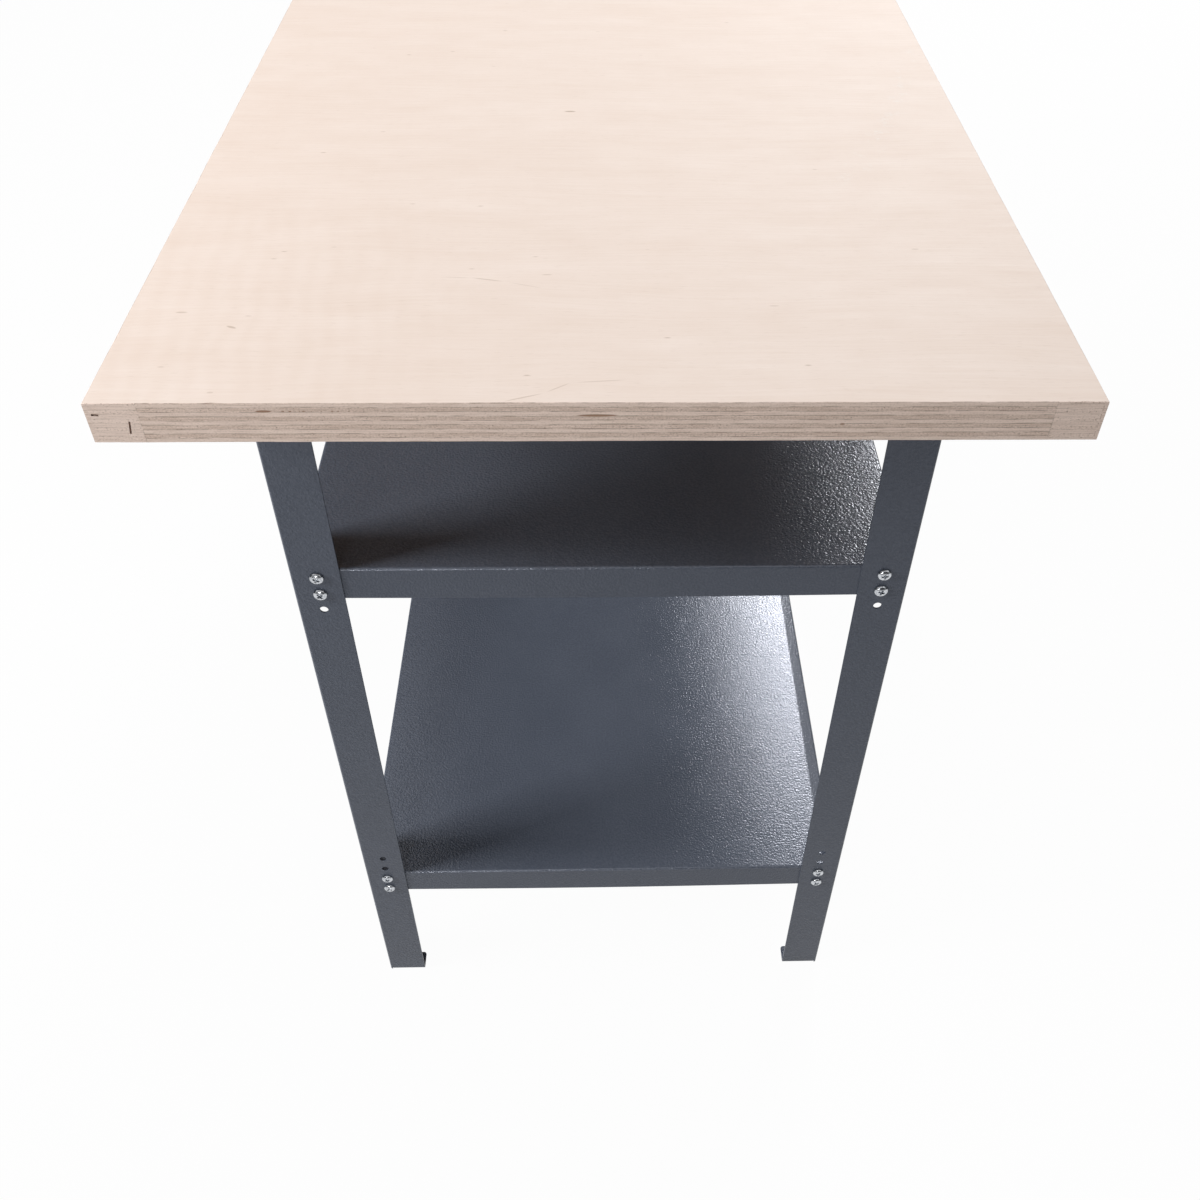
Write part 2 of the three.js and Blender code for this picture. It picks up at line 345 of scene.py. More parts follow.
def surface(name: str, dress: Callable[[ShaderTree], dict[str, Any]]) -> bpy.types.Material:
    """A material with one shader.

    Args:
        name: The material's name.
        dress: Gives the values and links of the shader's sockets.

    Returns:
        The material.
    """
    material = bpy.data.materials.new(name)
    material.use_nodes = True
    tree = ShaderTree(material.node_tree)
    shader = tree.node("ShaderNodeBsdfPrincipled", None, dress(tree))
    tree.node("ShaderNodeOutputMaterial", None, {"Surface": shader.outputs[0]})
    return material


@dataclass(frozen=True)
class Mark:
    """A small mark on the veneer, in millimetres on the worktop."""

    across: float
    along: float
    length: float
    width: float
    depth: float
    slant: float = 0.0


@dataclass(frozen=True)
class VeneerFinish:
    """Pale sanded veneer with its grain across the table, a scuff and a few dark marks."""

    name: str = "plywood_veneer"
    pale: Colour = (0.855, 0.735, 0.66)
    warm: Colour = (0.78, 0.64, 0.55)
    fleck: Colour = (0.42, 0.3, 0.22)
    dust: Colour = (0.93, 0.87, 0.82)
    grain_length: float = 70.0
    grain_width: float = 2.2
    fleck_cell: Point2 = (46.0, 15.0)
    fleck_size: float = 0.075
    ripple_pitch: float = 17.0
    scuff_centre: Point2 = (-680.0, 52.0)
    scuff_radius: float = 1008.0
    scuff_width: float = 16.0
    scuff_reach: Point2 = (-455.0, -70.0)
    marks: tuple[Mark, ...] = (
        Mark(-26, -299, 6.0, 1.5, 0.8),
        Mark(-104, -594, 11.0, 0.6, 0.25, -0.07),
        Mark(-82, -597, 13.5, 0.8, 0.42, -0.22),
        Mark(-54, -605, 14.5, 0.6, 0.22, -0.32),
        Mark(-50, -744, 14.5, 0.8, 0.4, 0.34),
        Mark(-28, -733, 10.0, 0.7, 0.34, 0.6),
        Mark(-1, -726, 19.0, 0.7, 0.3, 0.09),
        Mark(-251, -661, 4.6, 1.4, 0.5, -0.4),
        Mark(-289, -642, 5.0, 1.2, 0.4),
        Mark(122, -633, 4.5, 1.0, 0.3),
        Mark(-39, -590, 4.5, 1.0, 0.3),
        Mark(238, -551, 3.5, 1.0, 0.35),
        Mark(-248, -738, 2.5, 1.2, 0.3),
    )

    def flecks(self, tree: ShaderTree, x: Wire, y: Wire) -> Wire:
        """How dark the short pores and the single marks are."""
        place = tree.join(x / self.fleck_cell[0], y / self.fleck_cell[1], 0.0)
        cells = tree.cells(place)
        chance = tree.node("ShaderNodeSeparateColor", None, {0: cells.outputs["Color"]}).outputs[0]
        dark = Wire(tree, cells.outputs["Distance"]).step(self.fleck_size, 0.01)
        dark = dark * Wire(tree, chance).step(0.35, 1.0) * 0.55
        for mark in self.marks:
            aside, ahead = x - mark.across, y - mark.along
            lean, rise = math.cos(mark.slant), math.sin(mark.slant)
            lengthwise = (aside * lean + ahead * rise) / mark.length
            sideways = (ahead * lean - aside * rise) / mark.width
            dark = dark.larger((lengthwise ** 2 + sideways ** 2).step(1.0, 0.2) * mark.depth)
        return dark

    def scuff(self, tree: ShaderTree, x: Wire, y: Wire) -> Wire:
        """How pale the long curved scuff is."""
        aside = x - self.scuff_centre[0]
        ahead = y - self.scuff_centre[1]
        away = abs((aside * aside + ahead * ahead).root() - self.scuff_radius)
        reach = y.step(self.scuff_reach[0], self.scuff_reach[0] + 40) * y.step(self.scuff_reach[1], -200.0)
        broken = tree.cloud(tree.join(x / 14, y / 14, 0.0), 4.0, 0.65).step(0.5, 0.72)
        return away.step(self.scuff_width, 2.0) * reach * broken

    def material(self) -> bpy.types.Material:
        """Builds the veneer."""

        def dress(tree: ShaderTree) -> dict[str, Any]:
            """Colour, roughness and relief of the veneer."""
            x, y, z = tree.millimetres()
            bend = tree.cloud(tree.join(x / 240, y / 90, z), 1.0) * 26
            grain = tree.cloud(tree.join(x / self.grain_length, (y + bend) / self.grain_width, z), 3.0)
            broad = tree.cloud(tree.join(x / 190, (y + bend) / 42, z), 2.0)
            pores = tree.cloud(tree.join(x / 9, (y + bend * 0.3) / 0.8, z), 1.0)
            sway = tree.cloud(tree.join(x / 60, y / 60, 3.0), 2.0) * 9
            ripple = (x * (2 * math.pi / self.ripple_pitch) + sway + y / 30).wave()
            corner = x.step(-20.0, -240.0) * y.step(-380.0, -640.0)
            ripple = ripple * corner * tree.cloud(tree.join(x / 50, y / 35, 9.0), 1.0) * 0.16
            blotch = tree.cloud(tree.join(x / 34, y / 26, 5.0), 3.0)
            tone = (grain - 0.5) * 0.75 + (broad - 0.5) * 0.8 + (blotch - 0.5) * 0.6 + 0.4 + ripple
            colour = tree.mix(tone, self.pale, self.warm)
            colour = tree.mix(pores.step(0.6, 0.8) * 0.16, colour, self.fleck)
            colour = tree.mix(self.flecks(tree, x, y), colour, self.fleck)
            scuff = self.scuff(tree, x, y)
            colour = tree.mix(scuff * 0.55, colour, self.dust)
            rough = 0.66 + (grain - 0.5) * 0.16 + scuff * 0.1
            relief = grain * 0.5 + pores * 0.5
            return {
                "Base Color": colour,
                "Roughness": rough,
                "Normal": tree.bump(relief, 0.035),
                "Specular IOR Level": 0.25,
            }

        return surface(self.name, dress)


@dataclass(frozen=True)
class BackVeneerFinish(VeneerFinish):
    """The worktop's underside veneer, its colours darkened as painted shade under the board, with no scuff and no
    single marks.
    """

    name: str = "plywood_back_veneer"
    # Painted shade: these dark browns stand for the shade under the board, which the upper shelf also shows in its
    # gloss.
    pale: Colour = (0.38, 0.27, 0.2)
    warm: Colour = (0.3, 0.21, 0.15)
    dust: Colour = (0.38, 0.27, 0.2)
    marks: tuple[Mark, ...] = ()


@dataclass(frozen=True)
class PlyEdgeFinish:
    """The cut edge of the board: glued plies, streaks, pinholes and a joint near each corner."""

    underside: float
    half_width: float
    half_length: float
    long_grain: Colour = (0.88, 0.72, 0.63)
    end_grain: Colour = (0.63, 0.485, 0.4)
    glue: Colour = (0.22, 0.145, 0.1)
    bark: Colour = (0.3, 0.17, 0.1)
    plies: int = 9
    thickness: float = 30.0
    corner_block: float = 33.0

    def streaks(self, tree: ShaderTree, along: Wire, height: Wire) -> Wire:
        """How brown the short streaks in two of the plies are."""
        dark: Wire | None = None
        for start, end, level, depth in ((-219, -208, 23.9, 0.9), (-17, 11, 20.3, 0.9), (153, 157, 13.1, 0.7)):
            middle, half = (start + end) / 2, (end - start) / 2
            away = ((along - middle) / half) ** 2 + ((height - level) / 1.0) ** 2
            spot = away.step(1.1, 0.5) * depth
            dark = spot if dark is None else dark.larger(spot)
        dotted = tree.cloud(tree.join(along / 2.2, 1.0, 5.0), 1.0).step(0.5, 0.62)
        row = abs(height - 23.9).step(0.9, 0.2) * along.step(-206.0, -200.0) * along.step(-150.0, -165.0)
        return dark.larger(row * dotted * 0.75)

    def material(self) -> bpy.types.Material:
        """Builds the edge."""

        def dress(tree: ShaderTree) -> dict[str, Any]:
            """Colour, roughness and relief of the edge."""
            x, y, z = tree.millimetres()
            side = abs(x).step(self.half_width - 3, self.half_width - 2)
            along = x * (1 - side) + y * side
            height = z - self.underside
            corner = self.half_width - self.corner_block + side * (self.half_length - self.half_width)
            block = abs(along).over(corner)
            wander = (tree.cloud(tree.join(along / 75, 0.0, height / 9), 2.0) - 0.5) * 1.3
            ply = (height + wander) / (self.thickness / self.plies) + block * 0.5
            kind = (ply / 2).part().over(0.5)
            away = abs((ply + 0.5).part() - 0.5)
            gaps = tree.cloud(tree.join(along / 14, height / 3, 2.0), 3.0, 0.6)
            glue = away.step(0.15, 0.02) * gaps.step(0.36, 0.66) * (1 - block * 0.6)
            fibre = tree.cloud(tree.join(along / 26, height / 0.55, y / 300), 3.0, 0.6)
            pits = tree.cloud(tree.join(along / 1.5, height / 1.1, y / 1.5), 2.0, 0.6)
            tone = kind * 0.5 * (1 - block) + (fibre - 0.5) * 2.6 + (pits - 0.5) * (0.9 + kind * 1.2)
            colour = tree.mix(tone + 0.3, self.long_grain, self.end_grain)
            colour = tree.mix(glue * 0.75, colour, self.glue)
            colour = tree.mix(pits.step(0.58, 0.74) * (0.25 + kind * 0.4), colour, self.glue)
            joint = abs(abs(along) - corner).step(0.6, 0.15)
            colour = tree.mix(joint * gaps.step(0.4, 0.6) * 0.35, colour, self.glue)
            at_front = y.step(0.0, -10.0) * (1 - side)
            colour = tree.mix(self.streaks(tree, along, height) * at_front, colour, self.bark)
            relief = fibre * 0.4 + pits * 0.5 - glue * 0.6
            return {
                "Base Color": colour,
                "Roughness": 0.62 + (fibre - 0.5) * 0.2,
                "Normal": tree.bump(relief, 0.12),
                "IOR": 1.42,
            }

        return surface("plywood_edge", dress)


@dataclass(frozen=True)
class HammeredPaint:
    """Blue-grey paint that dried into small rounded bumps, as it lies on upright sheet."""

    name: str = "upright_paint"
    deep: Colour = (0.07, 0.08, 0.104)
    light: Colour = (0.09, 0.102, 0.13)
    gloss_tint: Colour = (0.87, 0.9, 1.0)
    bump_size: float = 2.0
    bump_depth: float = 0.5
    roughness: float = 0.3
    shine: float = 0.32

    def material(self) -> bpy.types.Material:
        """Builds the paint."""

        def dress(tree: ShaderTree) -> dict[str, Any]:
            """Colour, gloss and bumps of the paint."""
            x, y, z = tree.millimetres()
            place = tree.join(x, y, z)
            grain = 1 / self.bump_size
            bumps = tree.cloud(tree.vector("MULTIPLY", place, (grain,) * 3), 1.0, 0.45)
            fine = tree.cloud(tree.vector("MULTIPLY", place, (grain * 2.7,) * 3), 1.0)
            broad = tree.cloud(tree.vector("MULTIPLY", place, (1 / 60,) * 3), 2.0)
            height = bumps * 0.8 + fine * 0.2
            colour = tree.mix(height.step(0.3, 0.7) * 0.7 + (broad - 0.5) * 0.6, self.deep, self.light)
            return {
                "Base Color": colour,
                "Roughness": self.roughness + (fine - 0.5) * 0.1 + (broad - 0.5) * 0.1,
                "Normal": tree.bump(height, self.bump_depth),
                "Specular IOR Level": self.shine,
                "Specular Tint": self.gloss_tint,
            }

        return surface(self.name, dress)


@dataclass(frozen=True)
class LevelPaint(HammeredPaint):
    """The same paint on level sheet, with lighter colours as painted light where more light falls on it, and more
    shine to catch the lamps' highlight.
    """

    name: str = "level_paint"
    # Painted light: lighter than the upright paint's colours, because level sheet takes more light.
    deep: Colour = (0.086, 0.098, 0.127)
    light: Colour = (0.112, 0.127, 0.161)
    bump_size: float = 2.1
    bump_depth: float = 0.46
    roughness: float = 0.22
    shine: float = 0.95


@dataclass(frozen=True)
class ZincPlating:
    """Bright zinc with faint clouding."""

    bright: Colour = (0.66, 0.68, 0.71)
    dull: Colour = (0.42, 0.44, 0.47)

    def material(self) -> bpy.types.Material:
        """Builds the plating."""

        def dress(tree: ShaderTree) -> dict[str, Any]:
            """Colour and gloss of the plating."""
            x, y, z = tree.millimetres()
            clouding = tree.cloud(tree.join(x / 1.6, y / 1.6, z / 1.6), 3.0)
            fine = tree.cloud(tree.join(x / 0.4, y / 0.4, z / 0.4), 2.0)
            return {
                "Base Color": tree.mix(clouding.step(0.35, 0.7), self.bright, self.dull),
                "Metallic": 1.0,
                "Roughness": 0.17 + clouding * 0.16,
                "Normal": tree.bump(fine, 0.012),
            }

        return surface("zinc_plating", dress)


def smooth(mesh: bpy.types.Mesh, sharp_degrees: float = 38.0) -> bpy.types.Mesh:
    """Shades a mesh smoothly apart from its sharp edges.

    Args:
        mesh: The mesh.
        sharp_degrees: The turn between two faces from which their edge stays sharp.

    Returns:
        The same mesh.
    """
    mesh.shade_smooth()
    mesh.set_sharp_from_angle(angle=math.radians(sharp_degrees))
    return mesh


def put(
    name: str,
    mesh: bpy.types.Mesh,
    node: str,
    materials: Sequence[bpy.types.Material],
    place: Matrix | None = None,
) -> bpy.types.Object:
    """Puts a finished mesh in the scene for a CAD node.

    Args:
        name: The piece's name.
        mesh: Its mesh.
        node: The CAD node that it stands for.
        materials: Its materials, in the order of the mesh's material numbers.
        place: Where it goes, or nothing where the mesh is in place already.

    Returns:
        The new object.
    """
    made = bpy.data.objects.new(name, mesh)
    bpy.context.scene.collection.objects.link(made)
    if place is not None:
        made.matrix_world = place
    if not mesh.materials:
        for material in materials:
            mesh.materials.append(material)
    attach(made, BODY)
    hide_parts(node)
    LOG.info("piece %s stands for node %s", name, node)
    return made


def cut(mesh: bpy.types.Mesh, cutters: Iterable[bpy.types.Mesh]) -> bpy.types.Mesh:
    """Cuts shapes out of a closed mesh.

    Args:
        mesh: The mesh to cut.
        cutters: Closed meshes in the same place.

    Returns:
        A new mesh with the cuts.
    """
    scene = bpy.context.scene.collection.objects
    body = bpy.data.objects.new("cut_body", mesh)
    scene.link(body)
    tools = []
    for number, cutter in enumerate(cutters):
        tool = bpy.data.objects.new(f"cut_tool_{number}", cutter)
        scene.link(tool)
        tools.append(tool)
        modifier = body.modifiers.new(f"cut_{number}", "BOOLEAN")
        modifier.operation = "DIFFERENCE"
        modifier.solver = "EXACT"
        modifier.object = tool
    graph = bpy.context.evaluated_depsgraph_get()
    made = bpy.data.meshes.new_from_object(body.evaluated_get(graph))
    for thing in (body, *tools):
        bpy.data.objects.remove(thing)
    return made


def arc(centre: Point2, radius: float, start: float, sweep: float, steps: int) -> list[Point2]:
    """Points along an arc.

    Args:
        centre: The arc's centre.
        radius: Its radius.
        start: The angle of its first point.
        sweep: The angle that it turns through.
        steps: How many steps it has.

    Returns:
        The points, with both ends.
    """
    angles = [start + sweep * i / steps for i in range(steps + 1)]
    return [(centre[0] + radius * math.cos(a), centre[1] + radius * math.sin(a)) for a in angles]


@dataclass
class Blank:
    """A flat sheet with holes, in millimetres, that is folded after it is cut out."""

    outline: list[Point2]
    round_holes: list[tuple[Point2, float]]
    lines_across: list[float] = field(default_factory=list)
    lines_along: list[float] = field(default_factory=list)
    hole_sides: int = 28

    def folded(self, name: str, fold: Callable[[float, float], Vector]) -> bpy.types.Mesh:
        """Cuts the blank out and folds it.

        Args:
            name: The mesh's name.
            fold: Where each point of the flat sheet goes, in millimetres.

        Returns:
            The outer skin of the folded sheet.
        """
        points = [Vector(p) for p in self.outline]
        loops = [list(range(len(points)))]
        for centre, radius in self.round_holes:
            ring = arc(centre, radius, 0.0, 2 * math.pi, self.hole_sides)[:-1]
            loops.append(list(range(len(points), len(points) + len(ring))))
            points += [Vector(p) for p in ring]
        corners, _, faces, *_ = delaunay_2d_cdt(points, [], loops, FACES_WITH_HOLES, 1e-6)
        work = bmesh.new()
        verts = [work.verts.new((*corner, 0.0)) for corner in corners]
        for face in faces:
            work.faces.new([verts[i] for i in face])
        cuts = [((u, 0.0, 0.0), (1.0, 0.0, 0.0)) for u in self.lines_across]
        cuts += [((0.0, v, 0.0), (0.0, 1.0, 0.0)) for v in self.lines_along]
        for origin, normal in cuts:
            everything = [*work.verts, *work.edges, *work.faces]
            bmesh.ops.bisect_plane(work, geom=everything, dist=1e-5, plane_co=origin, plane_no=normal)
        for vert in work.verts:
            vert.co = fold(vert.co.x, vert.co.y) * MM
        mesh = bpy.data.meshes.new(name)
        work.to_mesh(mesh)
        work.free()
        return mesh


def turn_over(mesh: bpy.types.Mesh, place: Matrix) -> bpy.types.Mesh:
    """Moves a mesh, and turns its faces back if the move mirrors it.

    Args:
        mesh: The mesh.
        place: The move.

    Returns:
        The same mesh.
    """
    mesh.transform(place)
    if place.determinant() < 0:
        mesh.flip_normals()
    return mesh


def keep_flat(piece: bpy.types.Object) -> None:
    """Lets the large flat faces of a piece shade flat beside its rounded edges."""
    weighted = piece.modifiers.new("flat_faces", "WEIGHTED_NORMAL")
    weighted.weight = 100
    weighted.keep_sharp = True


def thicken(piece: bpy.types.Object, sheet_mm: float, edge_mm: float) -> None:
    """Gives a folded skin its sheet thickness and soft painted edges.

    Args:
        piece: The piece, whose mesh is the outer skin.
        sheet_mm: The sheet's thickness.
        edge_mm: How far the paint rounds each edge.
    """
    solid = piece.modifiers.new("sheet", "SOLIDIFY")
    solid.thickness = sheet_mm * MM
    solid.offset = -1.0
    solid.use_even_offset = True
    bevel = piece.modifiers.new("painted_edges", "BEVEL")
    bevel.width = edge_mm * MM
    bevel.segments = 2
    bevel.limit_method = "ANGLE"
    bevel.angle_limit = math.radians(50)
    keep_flat(piece)


def bend_steps(start: float, radius: float, steps: int) -> list[float]:
    """Where a quarter bend is creased, as distances along the flat sheet.

    Args:
        start: Where the bend starts.
        radius: The bend's outside radius, negative to go the other way.
        steps: How many facets it has.

    Returns:
        The places of the creases.
    """
    return [start + radius * QUARTER_TURN * i / steps for i in range(steps + 1)]


@dataclass
class Worktop:
    """The plywood board."""

    arris: float = 0.5
    arris_change: float = 0.45
    chip_depth: float = 2.4
    spacing: float = 5.0
    void_depth: float = 9.0

    def outline(self, low: Vector, high: Vector) -> list[Vector]:
        """Points round the board, close enough together for chipped edges."""
        corners = [(low.x, low.y), (high.x, low.y), (high.x, high.y), (low.x, high.y)]
        points = []
        for (x0, y0), (x1, y1) in zip(corners, corners[1:] + corners[:1]):
            steps = round(math.hypot(x1 - x0, y1 - y0) / (self.spacing * MM))
            for i in range(steps):
                share = i / steps
                points.append(Vector((x0 + (x1 - x0) * share, y0 + (y1 - y0) * share, 0.0)))
        return points

    def ease(self, point: Vector, seed: float) -> float:
        """How far an edge is worn away at a point, in metres."""
        spot = Vector((point.x, point.y, seed)) / MM
        worn = self.arris + self.arris_change * noise.noise(spot / 31)
        chipped = max(0.0, noise.noise(spot / 9 + Vector((0, 0, 7))) - 0.42) * self.chip_depth
        return max(0.25, worn + chipped) * MM

    def voids(self, low: Vector) -> list[bpy.types.Mesh]:
        """The two open gaps between plies at the front left corner, as cutting shapes."""
        made = []
        for across, height, length, width, slant in ((6.0, 21.2, 4.6, 1.5, 0.1), (25.3, 11.5, 1.2, 9.6, 0.16)):
            work = bmesh.new()
            bmesh.ops.create_cube(work, size=1.0)
            size = Matrix.Diagonal((length * MM, 2 * self.void_depth * MM, width * MM, 1.0))
            spot = Vector((low.x + across * MM, low.y, low.z + height * MM))
            place = Matrix.Translation(spot) @ Matrix.Rotation(slant, 4, "Y") @ size
            bmesh.ops.transform(work, matrix=place, verts=work.verts)
            mesh = bpy.data.meshes.new("ply_gap")
            work.to_mesh(mesh)
            work.free()
            made.append(mesh)
        return made

    def build(self, veneer: VeneerFinish, back: VeneerFinish) -> None:
        """Builds and dresses the board.

        Args:
            veneer: The finish of its upper face.
            back: The finish of its underside, darkened as painted shade.
        """
        low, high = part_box("worktop")
        work = bmesh.new()
        rings: list[list[bmesh.types.BMVert]] = []
        points = self.outline(low, high)
        edges = ((high.z, -1.0, 3.0, 1.0), (low.z, 1.0, 11.0, 0.7))
        for level, inward, seed, amount in edges:
            steps = (0.0, 0.35, 1.0) if inward < 0 else (1.0, 0.35, 0.0)
            for drop in steps:
                ring = []
                for point in points:
                    worn = self.ease(point, seed) * amount
                    inset = worn * (1 - math.sqrt(1 - (1 - drop) ** 2))
                    x = min(max(point.x, low.x + inset), high.x - inset)
                    y = min(max(point.y, low.y + inset), high.y - inset)
                    ring.append(work.verts.new((x, y, level + inward * worn * drop)))
                rings.append(ring)
        top = work.faces.new(rings[0])
        bottom = work.faces.new(list(reversed(rings[-1])))
        for upper, lower in zip(rings, rings[1:]):
            for i in range(len(points)):
                j = (i + 1) % len(points)
                face = work.faces.new((lower[i], lower[j], upper[j], upper[i]))
                face.material_index = 1
        top.material_index, bottom.material_index = 0, 2
        mesh = bpy.data.meshes.new("worktop_board")
        work.to_mesh(mesh)
        work.free()
        edge = PlyEdgeFinish(low.z / MM, high.x / MM, high.y / MM)
        finishes = [veneer.material(), edge.material(), back.material()]
        for finish in finishes:
            mesh.materials.append(finish)
        gaps = self.voids(low)
        for gap in gaps:
            gap.materials.append(finishes[1])
        board = smooth(cut(mesh, gaps))
        keep_flat(put("worktop_board", board, "worktop", finishes))


@dataclass
class Leg:
    """A leg folded from sheet, with its tabs, its holes and its place."""

    end: End
    side: Side
    sheet: float = 1.5
    bend: float = 2.5
    relief: float = 1.0
    tab_depth: float = 20.0
    tab_corner: float = 3.0
    hole: float = 7.0
    tab_hole: float = 6.0
    spare_under_upper: int = 1
    spare_over_lower: int = 2
    painted_edge: float = 0.3

    @property
    def node(self) -> str:
        """The leg's CAD node."""
        return f"leg_{self.end.word}_{self.side.word}"

    def screw(self, kind: str, row: int) -> Vector:
        """The middle of one of the leg's screws, in millimetres.

        Args:
            kind: The start of the screw's node name.
            row: Its number at this leg.

        Returns:
            The middle of its box.
        """
        low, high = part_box(f"{kind}_{self.end.word}_{self.side.word}_{row}")
        return (low + high) / 2 / MM

    def heights(self) -> list[float]:
        """The heights of all holes in the end flange."""
        upper = [self.screw("shelf_screw_upper", row).z for row in (1, 2)]
        lower = [self.screw("shelf_screw_lower", row).z for row in (1, 2)]
        pitch = upper[0] - upper[1]
        spare = [upper[1] - pitch * (i + 1) for i in range(self.spare_under_upper)]
        spare += [lower[0] + pitch * (i + 1) for i in range(self.spare_over_lower)]
        return upper + lower + spare

    def build(self, paint: bpy.types.Material) -> None:
        """Builds and dresses the leg.

        Args:
            paint: Its finish.
        """
        low, high = (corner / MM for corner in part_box(self.node))
        flange, height, bend = high.x - low.x, high.z - low.z, self.bend
        corner = Vector((low.x if self.side is Side.LEFT else high.x, 0.0, 0.0))
        corner.y = low.y if self.end is End.FRONT else high.y
        curve = bend * QUARTER_TURN
        tab_width = flange - bend - self.relief
        tab_drop = curve + self.tab_depth - bend
        folded_at = flange - bend
        width = 2 * folded_at + curve

        def tab_edge(foot: float, down: float) -> list[Point2]:
            """The outline of one tab, from the flange's free edge to its relief."""
            tip = foot + down * (tab_drop - bend)
            inset = self.tab_corner
            first = [(inset - inset * math.cos(a), tip - down * inset * (1 - math.sin(a)))
                     for a in (QUARTER_TURN * i / 5 for i in range(6))]
            second = [(tab_width - u, v) for u, v in reversed(first)]
            root = foot - down * bend
            return [*first, *second, (tab_width, root), (folded_at, root), (folded_at, foot)]

        outline = tab_edge(0.0, -1.0)
        outline += [(width, 0.0), (width, height)]
        outline += list(reversed(tab_edge(height, 1.0)))
        inset = abs(self.screw("shelf_screw_upper", 1).x - corner.x)
        holes = [((flange - inset, z), self.hole / 2) for z in self.heights()]
        for row in (1, 2):
            spot = self.screw("top_screw", row)
            across = flange - abs(spot.x - corner.x)
            back = abs(spot.y - corner.y) - bend + curve - bend
            holes += [((across, -back), self.tab_hole / 2), ((across, height + back), self.tab_hole / 2)]
        creases = bend_steps(bend, -bend, 6) + bend_steps(height - bend, bend, 6)
        blank = Blank(outline, holes, bend_steps(folded_at, bend, 8), creases + [height * 0.25, height * 0.6])

        def fold(u: float, v: float) -> Vector:
            """Folds the flange to an angle section, and the tabs at its two ends."""
            if u <= folded_at:
                spot = Vector((flange - u, 0.0, v))
            elif u <= folded_at + curve:
                angle = (u - folded_at) / bend
                spot = Vector((bend - bend * math.sin(angle), bend - bend * math.cos(angle), v))
            else:
                spot = Vector((0.0, bend + u - folded_at - curve, v))
            if u > tab_width + 1e-4:
                return spot
            for start, down in ((bend, -1.0), (height - bend, 1.0)):
                past = (v - start) * down
                if past > 0:
                    angle = min(past / bend, QUARTER_TURN)
                    spot.y = bend - bend * math.cos(angle) + max(0.0, past - curve)
                    spot.z = start + down * bend * math.sin(angle)
            return spot

        mesh = blank.folded(self.node, fold)
        mesh.flip_normals()
        mirror = Matrix.Diagonal((-self.side.value, -self.end.value, 1.0, 1.0))
        place = Matrix.Translation(corner * MM) @ mirror
        smooth(turn_over(mesh, place))
        piece = put(f"{self.node}_folded", mesh, self.node, [paint])
        thicken(piece, self.sheet, self.painted_edge)


